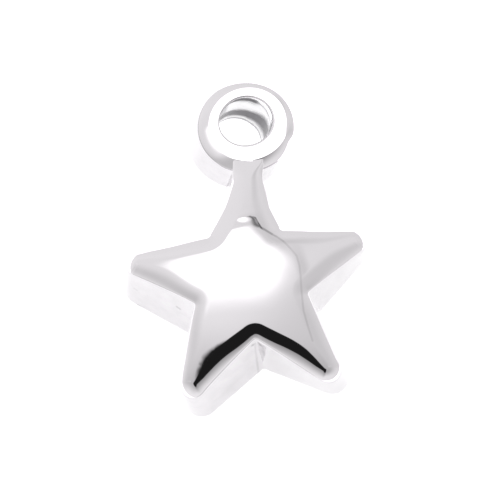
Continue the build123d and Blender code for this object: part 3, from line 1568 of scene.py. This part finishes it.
def face_reflection_lines() -> PaintedLines:
    """A painted reflection: a thin dark reflected line down the right of the face, darker where it
    starts beside the neck.

    Returns:
        The painted reflected lines, measured in plan.
    """
    # Across and along the pendant, and the strength of the stretch that starts there
    reflected_line = (
        (1.22, -0.52, 0.28), (1.37, -0.62, 0.22), (1.63, -0.86, 0.16), (1.88, -1.19, 0.13),
        (2.09, -1.51, 0.13), (2.16, -1.94, 0.14), (2.16, -2.36, 0.14), (2.13, -2.96, 0.15),
        (2.12, -3.78, 0.15), (2.22, -4.38, 0.13), (2.35, -4.98, 0.0),
    )
    half_width = 0.045
    painted_lines = [PaintedLine((0.80, -0.18, 0), (1.20, -0.50, 0), 0.050, 0.42)]
    for (x, y, strength), (next_x, next_y, _) in zip(reflected_line, reflected_line[1:]):
        painted_lines.append(PaintedLine((x, y, 0), (next_x, next_y, 0), half_width, strength))
    return PaintedLines("face_reflection_lines", tuple(painted_lines), flat=True)


def wall_shade_lines() -> PaintedLines:
    """Painted shade: dark lines on the left arm's wall, between the two legs and on the neck's wall by
    the loop.

    Returns:
        The painted shade lines, each from one place to another.
    """
    # Start, end, half width, strength
    return PaintedLines("wall_shade_lines", (
        PaintedLine((-4.66, -1.50, 1.50), (-4.58, -1.54, 1.48), 0.07, 0.08),
        PaintedLine((-4.65, -1.82, 0.22), (-4.57, -1.84, 0.20), 0.07, 0.28),
        PaintedLine((-2.97, -2.66, 2.06), (-2.87, -2.70, 2.04), 0.09, 0.24),
        PaintedLine((-0.10, -4.84, 2.96), (-0.04, -4.84, 2.90), 0.09, 0.26),
        PaintedLine((0.20, -4.88, 2.96), (0.26, -4.88, 2.90), 0.09, 0.30),
        PaintedLine((0.04, -4.82, 2.95), (0.05, -5.23, 0.40), 0.06, 0.16),
        PaintedLine((0.35, -4.90, 2.95), (0.34, -5.06, 1.90), 0.06, 0.12),
        PaintedLine((0.04, -5.26, 0.24), (0.34, -5.35, 0.10), 0.09, 0.24),
        PaintedLine((-0.08, 2.64, 2.80), (-0.50, 2.65, 0.45), 0.06, 0.28),
    ))


@dataclass(frozen=True)
class Silver:
    """Polished silver, with the faint waviness of hand polishing.

    The waviness is the depth of the waves in metres. Painted shade in the bore darkens the silver and
    makes it rougher where its mask is 1, and painted shade on the walls and painted dark lines multiply
    its colour.
    """

    name: str
    colour: tuple[float, float, float] = (0.95, 0.92, 0.95)
    roughness: float = 0.04
    waviness: float = 2.5e-6
    polish: HandPolish = HandPolish()
    # The bore's painted shade with its dark colour and roughness, the walls' painted shade, and painted
    # dark lines
    bore_shade: BoreShade | None = None
    bore_shade_colour: tuple[float, float, float] = (0.115, 0.11, 0.12)
    bore_shade_roughness: float = 0.25
    wall_shade: WallShade | None = None
    painted_lines: PaintedLines | None = None

    def material(self) -> bpy.types.Material:
        """Makes the material of this finish.

        Returns:
            The material.
        """
        material = bpy.data.materials.new(self.name)
        material.use_nodes = True
        sheet = NodeSheet(material.node_tree)
        bump = sheet.add("ShaderNodeBump")
        sheet.feed_all(bump, Height=self.polish.layer(sheet), Distance=self.waviness)
        tint: Term = (*self.colour, 1)
        roughness: Term = self.roughness
        # Painted shade in the bore: a dark colour mixed in, and more roughness, where its mask is 1
        if self.bore_shade:
            mask = self.bore_shade.layer(sheet)
            tint = sheet.blend(mask, tint, (*self.bore_shade_colour, 1))
            roughness = sheet.math("MULTIPLY_ADD", mask, self.bore_shade_roughness, roughness)
        # Painted shade on the walls and painted dark lines darken the colour
        for effect in (self.wall_shade, self.painted_lines):
            if effect:
                tint = sheet.blend(effect.layer(sheet), BLACK, tint)
        sheet.feed_all(
            material.node_tree.nodes["Principled BSDF"],
            Base_Color=tint,
            Metallic=1.0,
            Roughness=roughness,
            Normal=bump.outputs["Normal"],
        )
        return material


@dataclass
class Pendant:
    """The whole casting: star, neck and loop as one skin."""

    star: StarBody
    loop: Loop
    finishes: dict[Skin, Silver]

    def build(self) -> bpy.types.Object:
        """Makes the star and the loop, joins them into one closed skin and dresses it.

        Returns:
            The pendant, in metres at its place in the frame.
        """
        body = mesh_object("pendant", *self.star.surface())
        rings, skins = self.loop.rings()
        rows, columns, _ = rings.shape
        faces = band_faces(rows, columns, True)[:, ::-1]
        tube = mesh_object("loop", rings.reshape(-1, 3), [faces], np.repeat(skins, columns))
        log.info("star: %d faces, loop: %d faces", len(body.data.polygons), len(tube.data.polygons))
        for skin in Skin:
            material = self.finishes[skin].material()
            body.data.materials.append(material)
            tube.data.materials.append(material)
        self.join(body, tube)
        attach(body, "root")
        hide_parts(NODE)
        log.info("pendant: %d faces after joining", len(body.data.polygons))
        return body

    @staticmethod
    def join(body: bpy.types.Object, tube: bpy.types.Object) -> None:
        """Joins the loop to the star, turns the mesh into metres and smooths it.

        Args:
            body: Star and neck, which become the whole pendant.
            tube: Loop, which is used up.
        """
        union = body.modifiers.new("join", "BOOLEAN")
        union.operation = "UNION"
        union.solver = "MANIFOLD"
        union.object = tube
        depsgraph = bpy.context.evaluated_depsgraph_get()
        joined = bpy.data.meshes.new_from_object(body.evaluated_get(depsgraph), depsgraph=depsgraph)
        body.modifiers.clear()
        bpy.data.objects.remove(tube)
        joined.transform(Matrix.Scale(MM, 4))
        joined.polygons.foreach_set("use_smooth", np.ones(len(joined.polygons), bool))
        joined.set_sharp_from_angle(angle=math.radians(SHARP_ANGLE))
        body.data = joined


def main() -> None:
    """Builds the pendant and the studio, and reports each."""
    bore = next(mount for mount in frame["record"]["mounts"] if mount["name"] == "loop_bore")
    loop = Loop(centre=Vector(bore["pos_m"]) / MM, axis=Vector(bore["axis"]))
    star = StarBody(centre=(loop.centre.x - loop.beside_star, loop.centre.y - loop.above_star))
    # The face carries painted reflected lines, the bore painted shade, and the walls painted shade and
    # painted shadow lines
    bore_shade = BoreShade(centre=tuple(loop.centre), axis=tuple(loop.axis))
    finishes = {
        Skin.FACE: Silver("polished_face", painted_lines=face_reflection_lines()),
        Skin.BACK: Silver("polished_back", (0.90, 0.89, 0.90), 0.12),
        Skin.BORE: Silver("polished_bore", (0.86, 0.855, 0.865), 0.06, bore_shade=bore_shade),
        Skin.WALL: Silver("polished_wall", (1.0, 0.975, 1.0), 0.08, wall_shade=WallShade(), painted_lines=wall_shade_lines()),
    }
    Pendant(star, loop, finishes).build()
    Studio().build(star.centre)


if __name__ == "__main__":
    main()
